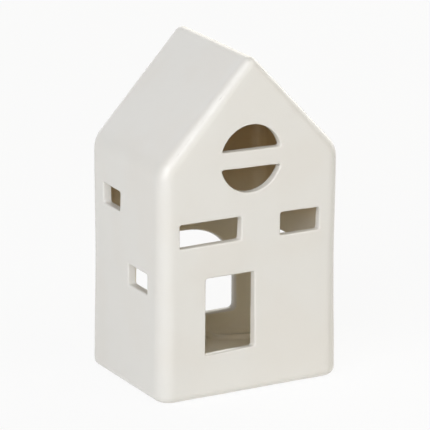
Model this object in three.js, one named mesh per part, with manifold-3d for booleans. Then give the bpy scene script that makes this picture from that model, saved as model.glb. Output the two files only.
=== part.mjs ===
// A ceramic christmas house: a hollow gabled house of cream glazed clay, with a door and windows cut through
// its front, two small windows through each side and a round-shouldered opening in its back, which a tealight
// goes in by. Seven clay slabs meet along mitred seams.
// Millimetres, +Z up. The front looks along -Y, and the origin is the middle of the underside.
import * as THREE from "three";
import { ConvexGeometry } from "three/addons/geometries/ConvexGeometry.js";
import { mergeVertices } from "three/addons/utils/BufferGeometryUtils.js";
import Module from "manifold-3d";

// The outside of the house, measured to the sharp edges that its faces would meet in. The width and depth are
// those at the eaves, and the walls spread by the flare on each side towards the foot.
const width = 87.6;
const depth = 66.5;
const footFlare = 0.6;
const ridgeHeight = 150;
const eaveHeight = 103.8;

// The clay.
const wallThickness = 4.2;
const roofThickness = 3.9;
const floorThickness = 4.5;
const seamGap = 0.3;

// Roundings of the outside and of the hollow: the upright corners, the gables' rims at the eaves, the eaves,
// the ridge and the foot.
const outerRounding = { corner: 7.5, rim: 6, eave: 13, ridge: 4, foot: 3.6 };
const innerRounding = { corner: 8, rim: 6, eave: 11, ridge: 3, foot: 8 };

// The round window under the ridge, parted into two half rounds by a cross bar that leans a little.
const roundWindow = { radius: 14.85, toRoof: 16.5, offCentre: -0.4 };
const crossBar = { height: 7.7, lean: THREE.MathUtils.degToRad(-1.6) };

// The two front windows hang below the round window. Each runs from near a corner to near the centre line.
const leftWindow = { fromCorner: 8.8, fromCentre: 5.05, height: 10.7, underRound: 10 };
const rightWindow = { fromCorner: 10.5, fromCentre: 14.1, height: 10.3, underRound: 11.15 };

// The door stands left of the centre line, and its lintel is the clay up to the left window.
const door = { leftOfCentre: 22.35, rightOfCentre: 1.45, sill: 19.9, lintel: 15 };

// The side windows, as each side wall is seen from outside: the upper one left, the lower one right.
const upperSideWindow = { fromCorner: 13.25, fromCentre: 4.7, height: 9, underEave: 17.8 };
const lowerSideWindow = { fromCorner: 13.5, fromCentre: 3.1, height: 8.7, sill: 46.5 };
const rightWallDrop = 0.8;

// The back opening: upright jambs, then an arch with fuller shoulders than a half circle.
const backOpening = { width: 54, sill: 14.9, jamb: 13.05, rise: 26.6, fullness: 2.4, cornerRadius: 2 };

// How the cuts are finished: rounded corners, and a rim that the sponge has softened.
const cutCornerRadius = 1.2;
const rimSoftening = 0.8;

// Fineness of the roundings.
const arcSteps = 5;
const cornerSteps = 2;
const archSteps = 24;
const halfRoundSteps = 18;

const pitch = Math.atan2(ridgeHeight - eaveHeight, width / 2);
const roofDistance = ridgeHeight * Math.cos(pitch);
const lean = footFlare / eaveHeight;
const up = new THREE.Vector3(0, 0, 1);
const wasm = await Module();
wasm.setup();

// A closed geometry as a solid that can be joined and cut.
function solidOf(geometry) {
  const bare = geometry.clone();
  bare.deleteAttribute("normal");
  bare.deleteAttribute("uv");
  const merged = mergeVertices(bare, 1e-4);
  const vertProperties = new Float32Array(merged.getAttribute("position").array);
  const triVerts = new Uint32Array(merged.getIndex().array);
  return new wasm.Manifold(new wasm.Mesh({ numProp: 3, vertProperties, triVerts }));
}

// A solid as a geometry that can be drawn.
function geometryOf(solid) {
  const mesh = solid.getMesh();
  const geometry = new THREE.BufferGeometry();
  geometry.setAttribute("position", new THREE.BufferAttribute(mesh.vertProperties, 3));
  geometry.setIndex(new THREE.BufferAttribute(mesh.triVerts, 1));
  const facetted = geometry.toNonIndexed();
  facetted.computeVertexNormals();
  return facetted;
}

// How far a leaning wall stands out, at a height, past its place at the eaves.
function spread(height) {
  return lean * (eaveHeight - height);
}

// Angles in even steps, both ends included.
function arc(from, to) {
  return Array.from({ length: arcSteps + 1 }, (_, step) => from + ((to - from) * step) / arcSteps);
}

// Points of one bottom corner, where the foot's rounding turns round the upright corner.
function footCorner(form, side, end) {
  const { corner } = form.rounding;
  const foot = Math.min(form.rounding.foot, corner);
  const points = [];
  for (const turn of arc(0, Math.PI / 2)) {
    for (const roll of arc(0, Math.PI / 2)) {
      const reach = corner - foot + foot * Math.sin(roll);
      const x = form.halfWidth + spread(form.bottom) - corner + reach * Math.cos(turn);
      const y = form.halfDepth + spread(form.bottom) - corner + reach * Math.sin(turn);
      points.push(new THREE.Vector3(side * x, end * y, form.bottom + foot * (1 - Math.cos(roll))));
    }
  }
  return points;
}

// Points of one eave corner, where the gable's rim turns from the wall into the roof.
function eaveCorner(form, side, end) {
  const { rim } = form.rounding;
  const eave = Math.max(form.rounding.eave, rim);
  const centreX = form.halfWidth - eave;
  const centreZ = form.ridge - eave / Math.cos(pitch) - centreX * Math.tan(pitch);
  const points = [];
  for (const turn of arc(0, Math.PI / 2 - pitch)) {
    for (const roll of arc(0, Math.PI / 2)) {
      const reach = eave - rim + rim * Math.cos(roll);
      const x = centreX + reach * Math.cos(turn);
      const y = form.halfDepth - rim + rim * Math.sin(roll);
      points.push(new THREE.Vector3(side * x, end * y, centreZ + reach * Math.sin(turn)));
    }
  }
  return points;
}

// Points of one end of the ridge, which is part of a ball.
function ridgeEnd(form, end) {
  const { ridge } = form.rounding;
  const centreZ = form.ridge - ridge / Math.cos(pitch);
  const points = [];
  for (const turn of arc(Math.PI / 2 - pitch, Math.PI / 2 + pitch)) {
    for (const roll of arc(0, Math.PI / 2)) {
      const reach = ridge * Math.cos(roll);
      const y = form.halfDepth + spread(form.ridge) - ridge + ridge * Math.sin(roll);
      points.push(new THREE.Vector3(reach * Math.cos(turn), end * y, centreZ + reach * Math.sin(turn)));
    }
  }
  return points;
}

// A whole gabled form with rounded edges, stretched over its six rounded corners on each gable.
function gabledForm(form) {
  const points = [];
  for (const end of [-1, 1]) {
    points.push(...ridgeEnd(form, end));
    for (const side of [-1, 1]) points.push(...footCorner(form, side, end), ...eaveCorner(form, side, end));
  }
  return solidOf(new ConvexGeometry(points));
}

// The clay of the whole house before anything is cut through it.
function clayShell() {
  const outside = gabledForm({
    halfWidth: width / 2,
    halfDepth: depth / 2,
    bottom: 0,
    ridge: ridgeHeight,
    rounding: outerRounding,
  });
  const hollow = gabledForm({
    halfWidth: width / 2 - wallThickness,
    halfDepth: depth / 2 - wallThickness,
    bottom: floorThickness,
    ridge: ridgeHeight - roofThickness / Math.cos(pitch),
    rounding: innerRounding,
  });
  return outside.subtract(hollow);
}

// The outer face of each slab: its outward direction, its distance from the origin, and the slabs round it.
const gableNeighbours = ["base", "right_wall", "right_roof", "left_roof", "left_wall"];
const faces = {
  front_wall: wallFace([0, -1, 0], depth / 2, gableNeighbours),
  back_wall: wallFace([0, 1, 0], depth / 2, gableNeighbours),
  left_wall: wallFace([-1, 0, 0], width / 2, ["base", "front_wall", "left_roof", "back_wall"]),
  right_wall: wallFace([1, 0, 0], width / 2, ["base", "front_wall", "right_roof", "back_wall"]),
  left_roof: roofFace(-1, ["left_wall", "front_wall", "right_roof", "back_wall"]),
  right_roof: roofFace(1, ["right_wall", "front_wall", "left_roof", "back_wall"]),
  base: baseFace(["front_wall", "right_wall", "back_wall", "left_wall"]),
};

// A wall leans in towards the eaves. Its foot is the point of its outer face on the table.
function wallFace(direction, halfSpan, neighbours) {
  const foot = new THREE.Vector3(...direction).multiplyScalar(halfSpan + footFlare);
  const normal = new THREE.Vector3(...direction).setZ(lean).normalize();
  return { normal, distance: normal.dot(foot), foot, neighbours };
}

function roofFace(side, neighbours) {
  const normal = new THREE.Vector3(side * Math.sin(pitch), 0, Math.cos(pitch));
  return { normal, distance: roofDistance, neighbours };
}

function baseFace(neighbours) {
  return { normal: up.clone().negate(), distance: 0, neighbours };
}

// The point where three planes meet, each given by its normal and its distance from the origin.
function meetingPoint(planes) {
  const rows = planes.flatMap(({ normal }) => normal.toArray());
  const distances = new THREE.Vector3(...planes.map(({ distance }) => distance));
  return distances.applyMatrix3(new THREE.Matrix3().set(...rows).invert());
}

// The space of one slab: it narrows inwards from its outer face, so that its sides are the mitres, half a
// seam gap short of the middle of each joint.
function slabSpace(name) {
  const own = faces[name];
  const outside = -wallThickness;
  const inside = wallThickness + Math.max(innerRounding.corner, innerRounding.foot);
  const points = [];
  for (const inset of [outside, inside]) {
    const sides = own.neighbours.map((neighbour) => {
      const { normal, distance } = faces[neighbour];
      const gap = (seamGap * own.normal.distanceTo(normal)) / 2;
      return { normal, distance: distance - inset - gap };
    });
    const level = { normal: own.normal, distance: own.distance - inset };
    sides.forEach((side, index) => {
      const next = sides[(index + 1) % sides.length];
      points.push(meetingPoint([level, side, next]));
    });
  }
  return solidOf(new ConvexGeometry(points));
}

// A wall's own frame as it is seen from outside: across to the right, up along the wall, and out of it.
function wallFrame(name) {
  const { normal, foot } = faces[name];
  const across = new THREE.Vector3().crossVectors(up, normal).normalize();
  const rise = new THREE.Vector3().crossVectors(normal, across);
  return new THREE.Matrix4().makeBasis(across, rise, normal).setPosition(foot);
}

// What is taken out for one opening: a straight hole through the clay, with a softened rim at the outer face.
function openingCutter(outline) {
  const through = wallThickness + innerRounding.corner;
  const hole = new THREE.ExtrudeGeometry(outline, {
    depth: through + wallThickness,
    bevelEnabled: false,
    curveSegments: cornerSteps,
  });
  const rim = new THREE.ExtrudeGeometry(outline, {
    depth: wallThickness,
    bevelThickness: rimSoftening,
    bevelSize: rimSoftening,
    bevelSegments: 1,
    curveSegments: cornerSteps,
  });
  return solidOf(hole.translate(0, 0, -through)).add(solidOf(rim));
}

// An upright four-cornered outline with rounded corners.
function squareOutline(left, right, bottom, top) {
  const radius = cutCornerRadius;
  const outline = new THREE.Shape();
  outline.absarc(right - radius, top - radius, radius, 0, Math.PI / 2);
  outline.absarc(left + radius, top - radius, radius, Math.PI / 2, Math.PI);
  outline.absarc(left + radius, bottom + radius, radius, Math.PI, 1.5 * Math.PI);
  outline.absarc(right - radius, bottom + radius, radius, 1.5 * Math.PI, 2 * Math.PI);
  return outline;
}

// Height of the round window's centre: as far below the roof slopes as its clearance says.
function roundWindowHeight() {
  return ridgeHeight - (roundWindow.radius + roundWindow.toRoof) / Math.cos(pitch);
}

// One half of the round window, above the cross bar or below it.
function halfRoundOutline(start) {
  const { radius, offCentre } = roundWindow;
  const chord = Math.asin(crossBar.height / 2 / radius);
  const rim = new THREE.EllipseCurve(
    offCentre, roundWindowHeight(), radius, radius,
    start + chord, start + Math.PI - chord, false, crossBar.lean,
  );
  return new THREE.Shape(rim.getPoints(halfRoundSteps));
}

// The top of a front window, below the round window.
function frontWindowTop(spec) {
  return roundWindowHeight() - roundWindow.radius - spec.underRound;
}

function leftWindowOutline() {
  const left = leftWindow.fromCorner - width / 2;
  const top = frontWindowTop(leftWindow);
  return squareOutline(left, -leftWindow.fromCentre, top - leftWindow.height, top);
}

function rightWindowOutline() {
  const right = width / 2 - rightWindow.fromCorner;
  const top = frontWindowTop(rightWindow);
  return squareOutline(rightWindow.fromCentre, right, top - rightWindow.height, top);
}

function doorOutline() {
  const top = frontWindowTop(leftWindow) - leftWindow.height - door.lintel;
  return squareOutline(-door.leftOfCentre, door.rightOfCentre, door.sill, top);
}

function upperSideOutline(drop) {
  const { fromCorner, fromCentre, height, underEave } = upperSideWindow;
  const top = eaveHeight - underEave - drop;
  return squareOutline(fromCorner - depth / 2, -fromCentre, top - height, top);
}

function lowerSideOutline(drop) {
  const { fromCorner, fromCentre, height } = lowerSideWindow;
  const sill = lowerSideWindow.sill - drop;
  return squareOutline(fromCentre, depth / 2 - fromCorner, sill, sill + height);
}

// The outline of the back opening, from its right foot over the arch to its left foot.
function backOutline() {
  const { sill, jamb, rise, fullness, cornerRadius } = backOpening;
  const half = backOpening.width / 2;
  const outline = new THREE.Shape();
  outline.absarc(half - cornerRadius, sill + cornerRadius, cornerRadius, 1.5 * Math.PI, 2 * Math.PI);
  for (let step = 0; step <= archSteps; step++) {
    const across = Math.cos((Math.PI * step) / archSteps);
    const aloft = Math.max(Math.sin((Math.PI * step) / archSteps), 0);
    const x = half * Math.sign(across) * Math.abs(across) ** (2 / fullness);
    outline.lineTo(x, sill + jamb + rise * aloft ** (2 / fullness));
  }
  outline.absarc(cornerRadius - half, sill + cornerRadius, cornerRadius, Math.PI, 1.5 * Math.PI);
  return outline;
}

// Cream-white glaze over a pale clay body.
function glazedCeramic() {
  return new THREE.MeshStandardMaterial({ color: 0xe6e3dc, roughness: 0.28, metalness: 0 });
}

const clay = clayShell();

// One slab of the shell, with its openings cut through.
function slab(name, outlines = []) {
  let solid = clay.intersect(slabSpace(name));
  for (const outline of outlines) {
    solid = solid.subtract(openingCutter(outline).transform(wallFrame(name).toArray()));
  }
  const mesh = new THREE.Mesh(geometryOf(solid), glazedCeramic());
  mesh.name = name;
  return mesh;
}

function frontWall() {
  const halfRounds = [halfRoundOutline(0), halfRoundOutline(Math.PI)];
  return slab("front_wall", [doorOutline(), leftWindowOutline(), rightWindowOutline(), ...halfRounds]);
}

function backWall() {
  return slab("back_wall", [backOutline()]);
}

function sideWall(name, drop) {
  return slab(name, [upperSideOutline(drop), lowerSideOutline(drop)]);
}

function roofSlope(name) {
  return slab(name);
}

function base() {
  return slab("base");
}

const house = new THREE.Group();
house.add(frontWall(), backWall());
house.add(sideWall("left_wall", 0), sideWall("right_wall", rightWallDrop));
house.add(roofSlope("left_roof"), roofSlope("right_roof"));
house.add(base());

export default house;
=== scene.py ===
import math
import bpy
from mathutils import Matrix, Vector


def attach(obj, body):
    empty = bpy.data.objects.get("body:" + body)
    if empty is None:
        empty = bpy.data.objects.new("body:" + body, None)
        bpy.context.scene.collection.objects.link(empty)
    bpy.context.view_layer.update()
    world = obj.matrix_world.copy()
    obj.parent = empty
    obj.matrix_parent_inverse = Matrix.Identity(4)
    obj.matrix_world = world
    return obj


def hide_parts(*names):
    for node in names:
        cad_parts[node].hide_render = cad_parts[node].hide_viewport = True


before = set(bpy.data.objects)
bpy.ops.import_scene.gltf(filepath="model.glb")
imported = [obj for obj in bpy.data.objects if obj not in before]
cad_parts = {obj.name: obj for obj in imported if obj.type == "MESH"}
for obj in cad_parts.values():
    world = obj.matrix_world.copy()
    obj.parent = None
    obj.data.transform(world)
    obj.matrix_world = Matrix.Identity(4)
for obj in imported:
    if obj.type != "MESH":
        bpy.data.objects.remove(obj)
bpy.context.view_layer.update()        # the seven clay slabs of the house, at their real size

# Metres, +Z up. The front looks along -Y and the house stands on z = 0.

# The outside, to the sharp edges that its faces would meet in, and how far each kind of edge is rounded.
outside = {
    "width": 0.0876,          # at the eaves
    "depth": 0.0665,
    "flare": 0.0006,          # how far each wall stands out at the foot
    "bottom": 0,
    "eave": 0.1038,
    "ridge": 0.150,
    "corner": 0.0075,
    "rim": 0.006,
    "eaveRound": 0.013,
    "ridgeRound": 0.004,
    "foot": 0.0036,
}
clay = {"wall": 0.0042, "roof": 0.0039, "floor": 0.0045}

pitch = math.atan2(outside["ridge"] - outside["eave"], outside["width"] / 2)
lean = outside["flare"] / outside["eave"]

# The room inside, whose corners the slip has filled more softly.
room = {
    "width": outside["width"] - 2 * clay["wall"],
    "depth": outside["depth"] - 2 * clay["wall"],
    "flare": outside["flare"] - lean * clay["floor"],
    "bottom": clay["floor"],
    "eave": outside["eave"] - clay["roof"] / math.cos(pitch) + clay["wall"] * math.tan(pitch),
    "ridge": outside["ridge"] - clay["roof"] / math.cos(pitch),
    "corner": 0.008,
    "rim": 0.006,
    "eaveRound": 0.011,
    "ridgeRound": 0.003,
    "foot": 0.008,
}


# Small helpers

def nothingSelected():
    bpy.ops.object.select_all(action="DESELECT")


def workOn(piece):
    nothingSelected()
    piece.select_set(True)
    bpy.context.view_layer.objects.active = piece


def editAll(piece):
    workOn(piece)
    bpy.ops.object.mode_set(mode="EDIT")
    bpy.ops.mesh.select_mode(type="VERT")
    bpy.ops.mesh.select_all(action="SELECT")


def objectMode():
    bpy.ops.object.mode_set(mode="OBJECT")


def pickVerts(piece, wanted):
    # selects the vertices whose place is wanted, and goes into edit mode
    editAll(piece)
    bpy.ops.mesh.select_all(action="DESELECT")
    objectMode()
    for vert in piece.data.vertices:
        vert.select = wanted(vert.co)
    bpy.ops.object.mode_set(mode="EDIT")


def settle(piece, matrix=None):
    # puts the piece's place into its mesh, so that the object itself sits at the origin
    if matrix is not None:
        piece.matrix_world = matrix @ piece.matrix_world
    workOn(piece)
    bpy.ops.object.transform_apply(location=True, rotation=True, scale=True)


def applyModifier(piece, kind, **settings):
    workOn(piece)
    modifier = piece.modifiers.new(kind.title(), kind)
    for name, value in settings.items():
        setattr(modifier, name, value)
    bpy.ops.object.modifier_apply(modifier=modifier.name)


def join(pieces, name):
    nothingSelected()
    for piece in pieces:
        piece.select_set(True)
    bpy.context.view_layer.objects.active = pieces[0]
    bpy.ops.object.join()
    pieces[0].name = name
    return pieces[0]


# The gabled form, outside and inside: a skin drawn tight over balls and rings set in its corners

fineness = {"ring": 72, "tube": 48, "ball": 64}
tiny = 1e-5


def ring(location, turned, across, minor):
    # across is from the ring's middle to its outer edge, and minor is its tube's radius
    nothingSelected()
    bpy.ops.mesh.primitive_torus_add(
        location=location, rotation=turned,
        major_segments=fineness["ring"], minor_segments=fineness["tube"],
        major_radius=max(across - minor, tiny), minor_radius=minor)
    return bpy.context.object


def gabledForm(name, size):
    parts = []
    halfWidth, halfDepth = size["width"] / 2, size["depth"] / 2
    footOut = size["flare"] - size["corner"]
    eaveIn = halfWidth - size["eaveRound"]
    eaveUp = size["ridge"] - size["eaveRound"] / math.cos(pitch) - eaveIn * math.tan(pitch)
    ridgeUp = size["ridge"] - size["ridgeRound"] / math.cos(pitch)
    ridgeEnd = halfDepth - lean * (size["ridge"] - size["eave"]) - size["ridgeRound"]
    footUp = size["bottom"] + size["foot"]
    for end in (-1, 1):
        for side in (-1, 1):
            foot = (side * (halfWidth + footOut), end * (halfDepth + footOut), footUp)
            parts.append(ring(foot, (0, 0, 0), size["corner"], size["foot"]))
            eave = (side * eaveIn, end * (halfDepth - size["rim"]), eaveUp)
            parts.append(ring(eave, (math.pi / 2, 0, 0), size["eaveRound"], size["rim"]))
        nothingSelected()
        bpy.ops.mesh.primitive_uv_sphere_add(
            segments=fineness["ball"], ring_count=fineness["tube"], radius=size["ridgeRound"],
            location=(0, end * ridgeEnd, ridgeUp))
        parts.append(bpy.context.object)
    form = join(parts, name)
    settle(form)
    editAll(form)
    bpy.ops.mesh.convex_hull()
    objectMode()
    return form


print("Forms: the outside and the room")
house = gabledForm("house", outside)
roomForm = gabledForm("room", room)


# The openings. Each is drawn as its wall is seen from outside: across to the right, and up from the table.

roundWindow = {
    "radius": 0.01485,
    "across": -0.0004,
    "toRoof": 0.0165,                 # the clay left between it and each roof slope
    "bar": 0.0077,                    # the cross bar that parts it
    "barLean": math.radians(-1.6),
    "steps": 96,
}
# The square ones are hand-cut and stray from square: slips are how far a corner strays to the right and up,
# and innerSlips how much further it strays on the wall's inner side.
leftWindow = {
    "left": -0.0350, "right": -0.00505, "bottom": 0.06888, "top": 0.07958,
    "slips": {"rightTop": (0, -0.0003)},
    "innerSlips": {"rightTop": (-0.0001, 0), "rightBottom": (-0.0005, 0.0002)},
}
rightWindow = {
    "left": 0.0141, "right": 0.0333, "bottom": 0.06813, "top": 0.07843,
    "slips": {"rightTop": (0.0001, -0.0003), "leftBottom": (0, 0.0001)},
    "innerSlips": {"rightTop": (0.0003, 0), "rightBottom": (0.0001, -0.0001)},
}
door = {
    "left": -0.02235, "right": 0.00145, "bottom": 0.0199, "top": 0.0539,
    "slips": {"rightTop": (0, -0.0001), "leftBottom": (-0.00025, -0.0002), "rightBottom": (0, 0.0005)},
    "innerSlips": {"rightTop": (0.00015, 0), "leftBottom": (0, -0.0001), "rightBottom": (-0.0002, -0.0004)},
}
upperSideWindow = {
    "left": -0.0200, "right": -0.0047, "bottom": 0.0770, "top": 0.0860,
    "slips": {
        "rightTop": (0, -0.0003), "rightBottom": (-0.0004, 0),
        "leftTop": (-0.0002, 0), "leftBottom": (-0.0002, 0)},
    "innerSlips": {"leftTop": (0.0004, 0), "leftBottom": (0.0006, 0)},
}
lowerSideWindow = {
    "left": 0.0031, "right": 0.01975, "bottom": 0.0465, "top": 0.0552,
    "slips": {"leftTop": (-0.0005, 0.0002), "leftBottom": (-0.0005, -0.0001)},
    "innerSlips": {"leftTop": (0.0006, 0), "leftBottom": (0.0004, 0.0001)},
}
rightWallDrop = 0.0008        # the right wall's windows were cut that much lower
backOpening = {"left": -0.0270, "right": 0.0270, "bottom": 0.0149, "top": 0.05455}
backArch = {"shoulder": 0.0266, "fullness": 2.35, "foot": 0.002, "steps": 24, "footSteps": 8}

# How a cut's rims are rounded off: the front's stay crisp, the sides' were sponged softer, and the back
# opening was wiped round with a thumb.
crispRims = {"outer": 0.0003, "inner": 0.0004, "steps": 3}
spongedRims = {"outer": 0.0004, "inner": 0.0004, "steps": 3}
wipedRims = {"outer": 0.0006, "inner": 0.0020, "steps": 6}
cutReach = 0.0125        # how far a cutter stands out on both sides of the wall


def wallFrame(outward):
    # from a wall's own across, up and out to the house's directions
    out = Vector((outward[0], outward[1], lean)).normalized()
    across = Vector((0, 0, 1)).cross(out).normalized()
    rise = out.cross(across)
    half = outside["width"] / 2 if outward[0] else outside["depth"] / 2
    foot = Vector((outward[0], outward[1], 0)) * (half + outside["flare"])
    return Matrix.Translation(foot) @ Matrix((across, rise, out)).transposed().to_4x4()


def slipCorners(piece, slips, below=math.inf):
    # moves the corners of a square cutter that lie under a height
    corners = [Vector(corner) for corner in piece.bound_box]
    middle = (corners[0] + corners[6]) / 2
    sides = {"left": -1, "right": 1, "Bottom": -1, "Top": 1}
    for name, move in slips.items():
        across = next(sides[word] for word in ("left", "right") if name.startswith(word))
        rise = next(sides[word] for word in ("Bottom", "Top") if name.endswith(word))
        pickVerts(piece, lambda co: (
            (co.x - middle.x) * across > 0 and (co.y - middle.y) * rise > 0 and co.z < below))
        bpy.ops.transform.translate(value=(move[0], move[1], 0))
        objectMode()


def throughWall(cutter, outward, rims, innerSlips=None):
    # The flat outline goes down through the wall. It is wider by a rim at the clay's outer face, draws in
    # round the rim to the hole's own size, and widens again round the inner rim.
    turns = [math.pi / 2 * step / rims["steps"] for step in range(rims["steps"] + 1)]
    profile = [
        (-rims["outer"] * (1 - math.cos(turn)), rims["outer"] * (1 - math.sin(turn)))
        for turn in turns]
    profile += [
        (rims["inner"] * (1 - math.cos(turn)) - clay["wall"], rims["inner"] * (1 - math.sin(turn)))
        for turn in reversed(turns)]
    profile += [(-clay["wall"] - cutReach, rims["inner"])]
    corners = [Vector(corner) for corner in cutter.bound_box]
    centre = (corners[0] + corners[6]) / 2
    size = corners[6] - corners[0]

    def widen(outset, newOutset, height):
        bpy.ops.transform.resize(
            value=((size.x + 2 * newOutset) / (size.x + 2 * outset),
                   (size.y + 2 * newOutset) / (size.y + 2 * outset), 1),
            center_override=(centre.x, centre.y, height))

    editAll(cutter)
    bpy.ops.transform.translate(value=(0, 0, cutReach))
    height, outset = cutReach, rims["outer"]
    widen(0, outset, height)
    for newHeight, newOutset in profile:
        bpy.ops.mesh.extrude_region_move(TRANSFORM_OT_translate={"value": (0, 0, newHeight - height)})
        widen(outset, newOutset, newHeight)
        height, outset = newHeight, newOutset
    bpy.ops.mesh.select_all(action="SELECT")
    bpy.ops.mesh.normals_make_consistent(inside=False)
    objectMode()
    top = max(cutter.data.polygons, key=lambda polygon: polygon.center.z)
    if top.normal.z < 0:
        editAll(cutter)
        bpy.ops.mesh.flip_normals()
        objectMode()
    if innerSlips:
        slipCorners(cutter, innerSlips, rims["inner"] - clay["wall"])
    settle(cutter, wallFrame(outward))
    return cutter


def squareSheet(name, size, drop=0):
    middle = ((size["left"] + size["right"]) / 2, (size["bottom"] + size["top"]) / 2 - drop, 0)
    nothingSelected()
    bpy.ops.mesh.primitive_plane_add(size=1, location=middle)
    sheet = bpy.context.object
    sheet.name = name
    sheet.scale = (size["right"] - size["left"], size["top"] - size["bottom"], 1)
    settle(sheet)
    return sheet


def squareHole(name, size, outward, rims, drop=0):
    sheet = squareSheet(name, size, drop)
    slipCorners(sheet, size["slips"])
    return throughWall(sheet, outward, rims, size["innerSlips"])


def archedHole(name, size, arch, outward):
    sheet = squareSheet(name, size)
    middle = (size["bottom"] + size["top"]) / 2
    profile = 0.5 ** (2 / arch["fullness"])      # how a bevel names a rounding that is fuller than a circle
    pickVerts(sheet, lambda co: co.y > middle)
    bpy.ops.mesh.bevel(offset=arch["shoulder"], segments=arch["steps"], affect="VERTICES", profile=profile)
    objectMode()
    pickVerts(sheet, lambda co: co.y < size["bottom"] + tiny)
    bpy.ops.mesh.bevel(offset=arch["foot"], segments=arch["footSteps"], affect="VERTICES")
    objectMode()
    return throughWall(sheet, outward, wipedRims)


def halfRoundHole(name, size, side, outward):
    # side is 1 for the half above the cross bar and -1 for the half below it
    up = outside["ridge"] - (size["radius"] + size["toRoof"]) / math.cos(pitch)
    centre = Vector((size["across"], up, 0))
    awayFromBar = Vector((-math.sin(size["barLean"]), math.cos(size["barLean"]), 0)) * side
    nothingSelected()
    bpy.ops.mesh.primitive_circle_add(
        vertices=size["steps"], radius=size["radius"], fill_type="NGON", location=centre)
    sheet = bpy.context.object
    sheet.name = name
    settle(sheet)
    editAll(sheet)
    barEdge = centre + awayFromBar * size["bar"] / 2
    bpy.ops.mesh.bisect(plane_co=barEdge, plane_no=awayFromBar, clear_inner=True)
    objectMode()
    return throughWall(sheet, outward, crispRims)


print("Openings")
front, back, left, right = (0, -1), (0, 1), (-1, 0), (1, 0)
holes = join([
    halfRoundHole("upperHalfRound", roundWindow, 1, front),
    halfRoundHole("lowerHalfRound", roundWindow, -1, front),
    squareHole("leftFrontWindow", leftWindow, front, crispRims),
    squareHole("rightFrontWindow", rightWindow, front, crispRims),
    squareHole("door", door, front, crispRims),
    squareHole("leftUpperWindow", upperSideWindow, left, spongedRims),
    squareHole("leftLowerWindow", lowerSideWindow, left, spongedRims),
    squareHole("rightUpperWindow", upperSideWindow, right, spongedRims, rightWallDrop),
    squareHole("rightLowerWindow", lowerSideWindow, right, spongedRims, rightWallDrop),
    archedHole("backOpening", backOpening, backArch, back),
], "holes")
applyModifier(house, "BOOLEAN", object=roomForm, operation="DIFFERENCE", solver="EXACT")
applyModifier(house, "BOOLEAN", object=holes, operation="DIFFERENCE", solver="EXACT")


# The wet clay is sponged: the cut edges go soft, and the walls stay a little uneven.

sponge = {"grain": 0.00048, "strokes": 1, "strength": 0.5}     # grain is how large the skin's faces are
unevenness = {"patch": 0.028, "depth": 0.00016}
sag = {"height": 0.052, "reach": 0.05, "inwards": 0.0004}      # the walls sink in a little halfway up

# In the back right corner the spare slip was smeared over the floor: it rises slowly towards the front and
# stops in a lip, whose foot runs through these places.
smear = {
    "foot": [
        (0.0080, 0.0290), (0.0110, 0.0257), (0.0129, 0.0237), (0.0146, 0.0222), (0.0166, 0.0211),
        (0.0184, 0.0199), (0.0200, 0.0191), (0.0224, 0.0187), (0.0256, 0.0172), (0.0420, 0.0140)],
    "thickness": 0.0022,
    "lip": 0.0010,      # how far back from its foot the lip takes to reach the full thickness
    "tail": 0.010,      # how far behind the lip it runs out
    "top": 0.016,       # how high it climbs up the walls
}


def lipFoot(x):
    for (startX, startY), (endX, endY) in zip(smear["foot"], smear["foot"][1:]):
        if startX <= x < endX:
            return startY + (endY - startY) * (x - startX) / (endX - startX)


def smearedOn(place):
    # the share of the smear's thickness that lies at a place
    inCorner = (
        smear["foot"][0][0] < place.x < outside["width"] / 2 - clay["wall"] / 2
        and place.y < outside["depth"] / 2 - clay["wall"] / 2
        and clay["floor"] / 2 < place.z < smear["top"])
    if not inCorner:
        return 0
    behind = place.y - lipFoot(place.x)
    if behind <= 0:
        return 0
    rise = min(behind / smear["lip"], 1)
    runOut = max(1 - behind / smear["tail"], 0)
    upTheWall = min((smear["top"] - place.z) / (smear["top"] - clay["floor"]), 1)
    return rise * rise * (3 - 2 * rise) * runOut * upTheWall


print("Sponging")
applyModifier(house, "REMESH", mode="VOXEL", voxel_size=sponge["grain"], adaptivity=0)
smeared = house.vertex_groups.new(name="smeared")
for vert in house.data.vertices:
    share = smearedOn(vert.co)
    if share > 0:
        smeared.add([vert.index], share, "REPLACE")
applyModifier(house, "SMOOTH", factor=sponge["strength"], iterations=sponge["strokes"])
applyModifier(house, "DISPLACE", vertex_group="smeared", strength=smear["thickness"], mid_level=0)
house.vertex_groups.clear()
waves = bpy.data.textures.new("unevenClay", "CLOUDS")
waves.noise_scale = unevenness["patch"]
waves.noise_depth = 1
applyModifier(
    house, "DISPLACE", texture=waves, strength=unevenness["depth"], mid_level=1, texture_coords="LOCAL")
pickVerts(house, lambda co: abs(co.z - sag["height"]) < sponge["grain"])
shrink = (1 - 2 * sag["inwards"] / outside["width"], 1 - 2 * sag["inwards"] / outside["depth"], 1)
bpy.ops.transform.resize(
    value=shrink, center_override=(0, 0, sag["height"]), use_proportional_edit=True,
    proportional_edit_falloff="SMOOTH", proportional_size=sag["reach"])
objectMode()
workOn(house)
bpy.ops.object.shade_smooth()
print("  ", len(house.data.polygons), "faces")


# The house comes apart into its slabs along the mitres, halfway between each two neighbours' faces.

def face(outward, half):
    normal = Vector((outward[0], outward[1], lean)).normalized()
    return normal, normal.dot(Vector((outward[0], outward[1], 0)) * (half + outside["flare"]))


def slope(side):
    normal = Vector((side * math.sin(pitch), 0, math.cos(pitch)))
    return normal, outside["ridge"] * math.cos(pitch)


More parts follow.
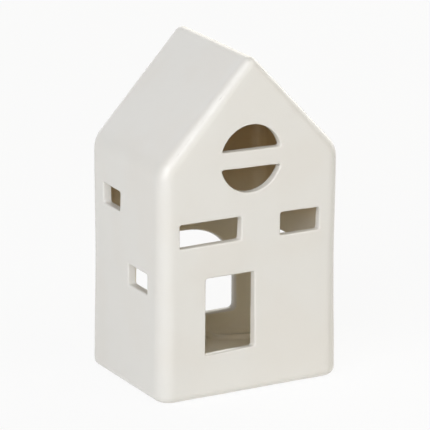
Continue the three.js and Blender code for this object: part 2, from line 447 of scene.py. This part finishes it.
outerFaces = {
    "front_wall": face(front, outside["depth"] / 2), "back_wall": face(back, outside["depth"] / 2),
    "left_wall": face(left, outside["width"] / 2), "right_wall": face(right, outside["width"] / 2),
    "left_roof": slope(-1), "right_roof": slope(1),
    "base": (Vector((0, 0, -1)), 0),
}
neighbours = {
    "front_wall": ("base", "left_wall", "right_wall", "left_roof", "right_roof"),
    "back_wall": ("base", "left_wall", "right_wall", "left_roof", "right_roof"),
    "left_wall": ("base", "front_wall", "back_wall", "left_roof"),
    "right_wall": ("base", "front_wall", "back_wall", "right_roof"),
    "left_roof": ("left_wall", "front_wall", "back_wall", "right_roof"),
    "right_roof": ("right_wall", "front_wall", "back_wall", "left_roof"),
    "base": ("front_wall", "back_wall", "left_wall", "right_wall"),
}
pieceNames = {
    "front_wall": "frontWall", "back_wall": "backWall", "left_wall": "leftWall", "right_wall": "rightWall",
    "left_roof": "leftRoof", "right_roof": "rightRoof", "base": "floorSlab",
}


def slab(node):
    workOn(house)
    bpy.ops.object.duplicate()
    piece = bpy.context.object
    piece.name = pieceNames[node]
    editAll(piece)
    normal, distance = outerFaces[node]
    for other in neighbours[node]:
        otherNormal, otherDistance = outerFaces[other]
        towards = otherNormal - normal
        plane = towards.normalized()
        place = plane * (otherDistance - distance) / towards.length
        bpy.ops.mesh.select_all(action="SELECT")
        bpy.ops.mesh.bisect(plane_co=place, plane_no=plane, use_fill=True, clear_outer=True)
    objectMode()
    applyModifier(
        piece, "DATA_TRANSFER", object=house, use_loop_data=True, data_types_loops={"CUSTOM_NORMAL"},
        loop_mapping="POLYINTERP_NEAREST")
    print("  ", piece.name, len(piece.data.polygons), "faces")
    return piece


print("Slabs")
slabs = {node: slab(node) for node in outerFaces}


# The glaze

def toLinear(hexColour):
    channels = [int(hexColour[i:i + 2], 16) / 255 for i in (1, 3, 5)]
    return [c / 12.92 if c <= 0.04045 else ((c + 0.055) / 1.055) ** 2.4 for c in channels] + [1]


def addNode(tree, kind, links=None, **settings):
    # links gives a socket by name or number either a value or another node's output
    node = tree.nodes.new("ShaderNode" + kind)
    for name, value in settings.items():
        setattr(node, name, value)
    for socket, value in (links or {}).items():
        if isinstance(value, bpy.types.NodeSocket):
            tree.links.new(value, node.inputs[socket])
        else:
            node.inputs[socket].default_value = value
    return node


def maths(tree, operation, *values):
    return addNode(tree, "Math", dict(enumerate(values)), operation=operation).outputs[0]


def fade(tree, value, start, end):
    smooth = addNode(tree, "MapRange", {0: value, 1: start, 2: end}, interpolation_type="SMOOTHSTEP")
    return smooth.outputs[0]


def newMaterial(name):
    material = bpy.data.materials.new(name)
    material.use_nodes = True
    material.node_tree.nodes.clear()
    return material, material.node_tree


# Glazed earthenware: slabs of buff clay, dipped in a cream tin glaze and fired glossy. The inside was
# only rinsed with it, so the clay warms it; painted shade darkens it further up under the roof and on the
# room's floor. The foot was wiped bare.
glaze = {
    "cream": "#E8E5DE",
    "thinCream": "#E7E3DB",           # the thin places let a little of the clay through
    "thinPatch": 0.030,
    "thinFrom": 0.4,
    "thinTo": 0.65,
    "inside": "#ECE3CC",
    "insideFrom": 0.0005,             # how far short of the wall's thickness the inside's colour begins,
    "insideTo": 0.0002,               # and where it is full
    # painted shade: up under the roof the inside is drawn darker and warmer, fading in between these two
    # heights
    "loftShade": "#D3BA8F",
    "loftShadeFrom": 0.050,
    "loftShadeTo": 0.092,
    "roomFloorShade": "#E9DFC8",              # painted shade: the room's floor drawn a little darker, fading out between these two heights
    "roomFloorShadeFrom": 0.006,
    "roomFloorShadeTo": 0.014,
    "bodyRoughness": 0.55,
    "coat": 0.8,
    "coatInside": 0.6,
    "coatRoughness": 0.18,
    "coatIor": 1.5,
    "ripple": 0.009,                  # the glaze's own slow unevenness
    "rippleDepth": 0.00004,
    "bareClay": "#D9CBB4",
    "bareRoughness": 0.85,
    "wipedTo": 0.0006,                # how high the bare foot reaches, and how unevenly
    "wipedWander": 0.0005,
    "wanderPatch": 0.004,
    "wipedEdge": 0.00008,
    "clayGrain": 0.0005,
    "clayGrainDepth": 0.00003,
}


def creamGlaze():
    material, tree = newMaterial("creamGlaze")
    place = addNode(tree, "TexCoord").outputs["Object"]
    height = addNode(tree, "SeparateXYZ", {0: place}).outputs[2]

    def noise(patch, detail):
        return addNode(tree, "TexNoise", {"Vector": place, "Scale": 1 / patch, "Detail": detail}).outputs[0]

    def between(share, low, high):
        return addNode(tree, "MapRange", {0: share, 3: low, 4: high}).outputs[0]

    def blend(share, first, second):
        return addNode(tree, "Mix", {0: share, 6: first, 7: second}, data_type="RGBA").outputs[2]

    thin = fade(tree, noise(glaze["thinPatch"], 2), glaze["thinFrom"], glaze["thinTo"])
    outsideColour = blend(thin, toLinear(glaze["cream"]), toLinear(glaze["thinCream"]))
    # painted shade: the room's colour is drawn darker on its floor and up under the roof
    aboveFloor = fade(tree, height, glaze["roomFloorShadeFrom"], glaze["roomFloorShadeTo"])
    roomColourAndFloorShade = blend(aboveFloor, toLinear(glaze["roomFloorShade"]), toLinear(glaze["inside"]))
    inLoftShade = fade(tree, height, glaze["loftShadeFrom"], glaze["loftShadeTo"])
    insideColourAndShade = blend(inLoftShade, roomColourAndFloorShade, toLinear(glaze["loftShade"]))
    inside = howFarInside(tree, place)
    glazeColourAndShade = blend(inside, outsideColour, insideColourAndShade)

    lowest, highest = glaze["wipedTo"] - glaze["wipedWander"], glaze["wipedTo"] + glaze["wipedWander"]
    wipedLine = between(noise(glaze["wanderPatch"], 3), lowest, highest)
    aboveWiped = maths(tree, "SUBTRACT", height, wipedLine)
    glazed = addNode(
        tree, "MapRange", {0: aboveWiped, 1: -glaze["wipedEdge"], 2: glaze["wipedEdge"]}).outputs[0]

    glazeBump = addNode(
        tree, "Bump", {"Height": noise(glaze["ripple"], 1), "Distance": glaze["rippleDepth"]})
    clayBump = addNode(
        tree, "Bump", {"Height": noise(glaze["clayGrain"], 4), "Distance": glaze["clayGrainDepth"]})
    glazeShader = addNode(tree, "BsdfPrincipled", {
        "Base Color": glazeColourAndShade,
        "Roughness": glaze["bodyRoughness"],
        "Normal": glazeBump.outputs[0],
        "Coat Weight": between(inside, glaze["coat"], glaze["coatInside"]),
        "Coat Roughness": glaze["coatRoughness"],
        "Coat IOR": glaze["coatIor"],
        "Coat Normal": glazeBump.outputs[0],
    })
    clayShader = addNode(tree, "BsdfPrincipled", {
        "Base Color": toLinear(glaze["bareClay"]),
        "Roughness": glaze["bareRoughness"],
        "Normal": clayBump.outputs[0],
    })
    fired = addNode(tree, "MixShader", {0: glazed, 1: clayShader.outputs[0], 2: glazeShader.outputs[0]})
    addNode(tree, "OutputMaterial", {"Surface": fired.outputs[0]})
    return material


def howFarInside(tree, place):
    # 0 on the outside of the clay and 1 on the side that faces the room
    split = addNode(tree, "SeparateXYZ", {0: place})
    x = maths(tree, "ABSOLUTE", split.outputs[0])
    y = maths(tree, "ABSOLUTE", split.outputs[1])
    z = split.outputs[2]
    halfWidth = outside["width"] / 2 + outside["flare"]
    halfDepth = outside["depth"] / 2 + outside["flare"]
    leaning = maths(tree, "MULTIPLY", z, lean)

    def depthBelow(half, across):
        wallLine = maths(tree, "SUBTRACT", half, leaning)
        return maths(tree, "SUBTRACT", wallLine, across)

    rise = maths(tree, "MULTIPLY", z, math.cos(pitch))
    reach = maths(tree, "MULTIPLY_ADD", x, math.sin(pitch), rise)
    least = maths(tree, "SUBTRACT", outside["ridge"] * math.cos(pitch), reach)
    for depth in (depthBelow(halfWidth, x), depthBelow(halfDepth, y), z):
        least = maths(tree, "MINIMUM", least, depth)
    return fade(tree, least, clay["wall"] - glaze["insideFrom"], clay["wall"] - glaze["insideTo"])


print("Glaze")
glazedClay = creamGlaze()
for node, piece in slabs.items():
    piece.data.materials.clear()
    piece.data.materials.append(glazedClay)
    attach(piece, "root")
    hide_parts(node)

for helper in (house, roomForm, holes):
    bpy.data.objects.remove(helper)


# Studio: a pale floor, a white surround and soft lamps

studio = {
    "floor": "#F7F7F5",
    "floorSize": 6.0,
    "floorShare": 0.1,       # how much of the floor's own shade is seen
    "sky": 0.0,              # how much plain daylight falls on the house
    "skyColour": "#FFFFFF",
    "white": 1.0,
    "lampSize": 1.4,
    "lampDistance": 1.6,
}
# Each lamp stands so many degrees round to the right from the front, and so many degrees up.
lamps = {
    "lowFrontLamp": {"round": -53, "above": 13, "power": 16.2, "colour": "#FAFBFF"},
    "highFrontLamp": {"round": -50, "above": 40, "power": 10.1, "colour": "#F7FAFF"},
    "rightFrontLamp": {"round": 30, "above": 20, "power": 3.1, "colour": "#FFF4EE"},
    "highRightLamp": {"round": 40, "above": 45, "power": 6.3, "colour": "#FFFFF3"},
    "rightLamp": {"round": 105, "above": 15, "power": 7.0, "colour": "#FFFFFF"},
    "backLamp": {"round": 135, "above": 25, "power": 6.3, "colour": "#FFFAEC"},
    "lowBackLamp": {"round": 180, "above": 16, "power": 3.5, "colour": "#FFFFFF"},
}


def seenDirectly(tree):
    # 1 for what the camera, reflections and clear surfaces see, and 0 for the light that falls on things
    path = addNode(tree, "LightPath")
    seen = path.outputs["Is Camera Ray"]
    for ray in ("Is Glossy Ray", "Is Transmission Ray"):
        seen = maths(tree, "MAXIMUM", seen, path.outputs[ray])
    return seen


def surround():
    world = bpy.data.worlds.new("surround")
    bpy.context.scene.world = world
    world.use_nodes = True
    tree = world.node_tree
    tree.nodes.clear()
    sky = addNode(tree, "Background", {0: toLinear(studio["skyColour"]), 1: studio["sky"]})
    white = addNode(tree, "Background", {0: (1, 1, 1, 1), 1: studio["white"]})
    mixed = addNode(tree, "MixShader", {0: seenDirectly(tree), 1: sky.outputs[0], 2: white.outputs[0]})
    addNode(tree, "OutputWorld", {"Surface": mixed.outputs[0]})


def paleFloor():
    nothingSelected()
    bpy.ops.mesh.primitive_plane_add(size=studio["floorSize"])
    floor = bpy.context.object
    floor.name = "paleFloor"
    material, tree = newMaterial("paleFloor")
    shaded = addNode(tree, "BsdfDiffuse", {0: toLinear(studio["floor"])})
    white = addNode(tree, "Emission", {0: (1, 1, 1, 1), 1: studio["white"]})
    share = maths(tree, "MULTIPLY", seenDirectly(tree), 1 - studio["floorShare"])
    mixed = addNode(tree, "MixShader", {0: share, 1: shaded.outputs[0], 2: white.outputs[0]})
    addNode(tree, "OutputMaterial", {"Surface": mixed.outputs[0]})
    floor.data.materials.append(material)


def addLamp(name, lamp):
    nothingSelected()
    middle = Vector((0, 0, outside["ridge"] / 2))
    turn = Matrix.Rotation(math.radians(lamp["round"]), 4, "Z")
    tilt = Matrix.Rotation(math.radians(90 - lamp["above"]), 4, "X")
    bpy.ops.object.light_add(type="AREA")
    light = bpy.context.object
    light.name = name
    outwards = Matrix.Translation((0, 0, studio["lampDistance"]))
    light.matrix_world = Matrix.Translation(middle) @ turn @ tilt @ outwards
    light.data.size = studio["lampSize"]
    light.data.energy = lamp["power"]
    light.data.color = toLinear(lamp["colour"])[:3]


print("Studio")
surround()
paleFloor()
for name, lamp in lamps.items():
    addLamp(name, lamp)

# The camera stands to the left of the front, a little above the roof, far off with a long lens.
view = {
    "round": math.radians(-28.97),
    "above": math.radians(17.1),
    "roll": math.radians(0.27),
    "distance": 1.75867,
    "aim": (0.00027, 0, 0.07034),
    "lens": 339.8,
    "sensor": 36,
}
nothingSelected()
bpy.ops.object.camera_add()
camera = bpy.context.object
camera.name = "photoView"
turn = Matrix.Rotation(view["round"], 4, "Z") @ Matrix.Rotation(math.pi / 2 - view["above"], 4, "X")
camera.matrix_world = (
    Matrix.Translation(view["aim"]) @ turn @ Matrix.Translation((0, 0, view["distance"]))
    @ Matrix.Rotation(view["roll"], 4, "Z"))
camera.data.sensor_width = view["sensor"]
camera.data.lens = view["lens"]
bpy.context.scene.camera = camera
bpy.context.scene.view_settings.view_transform = "Standard"
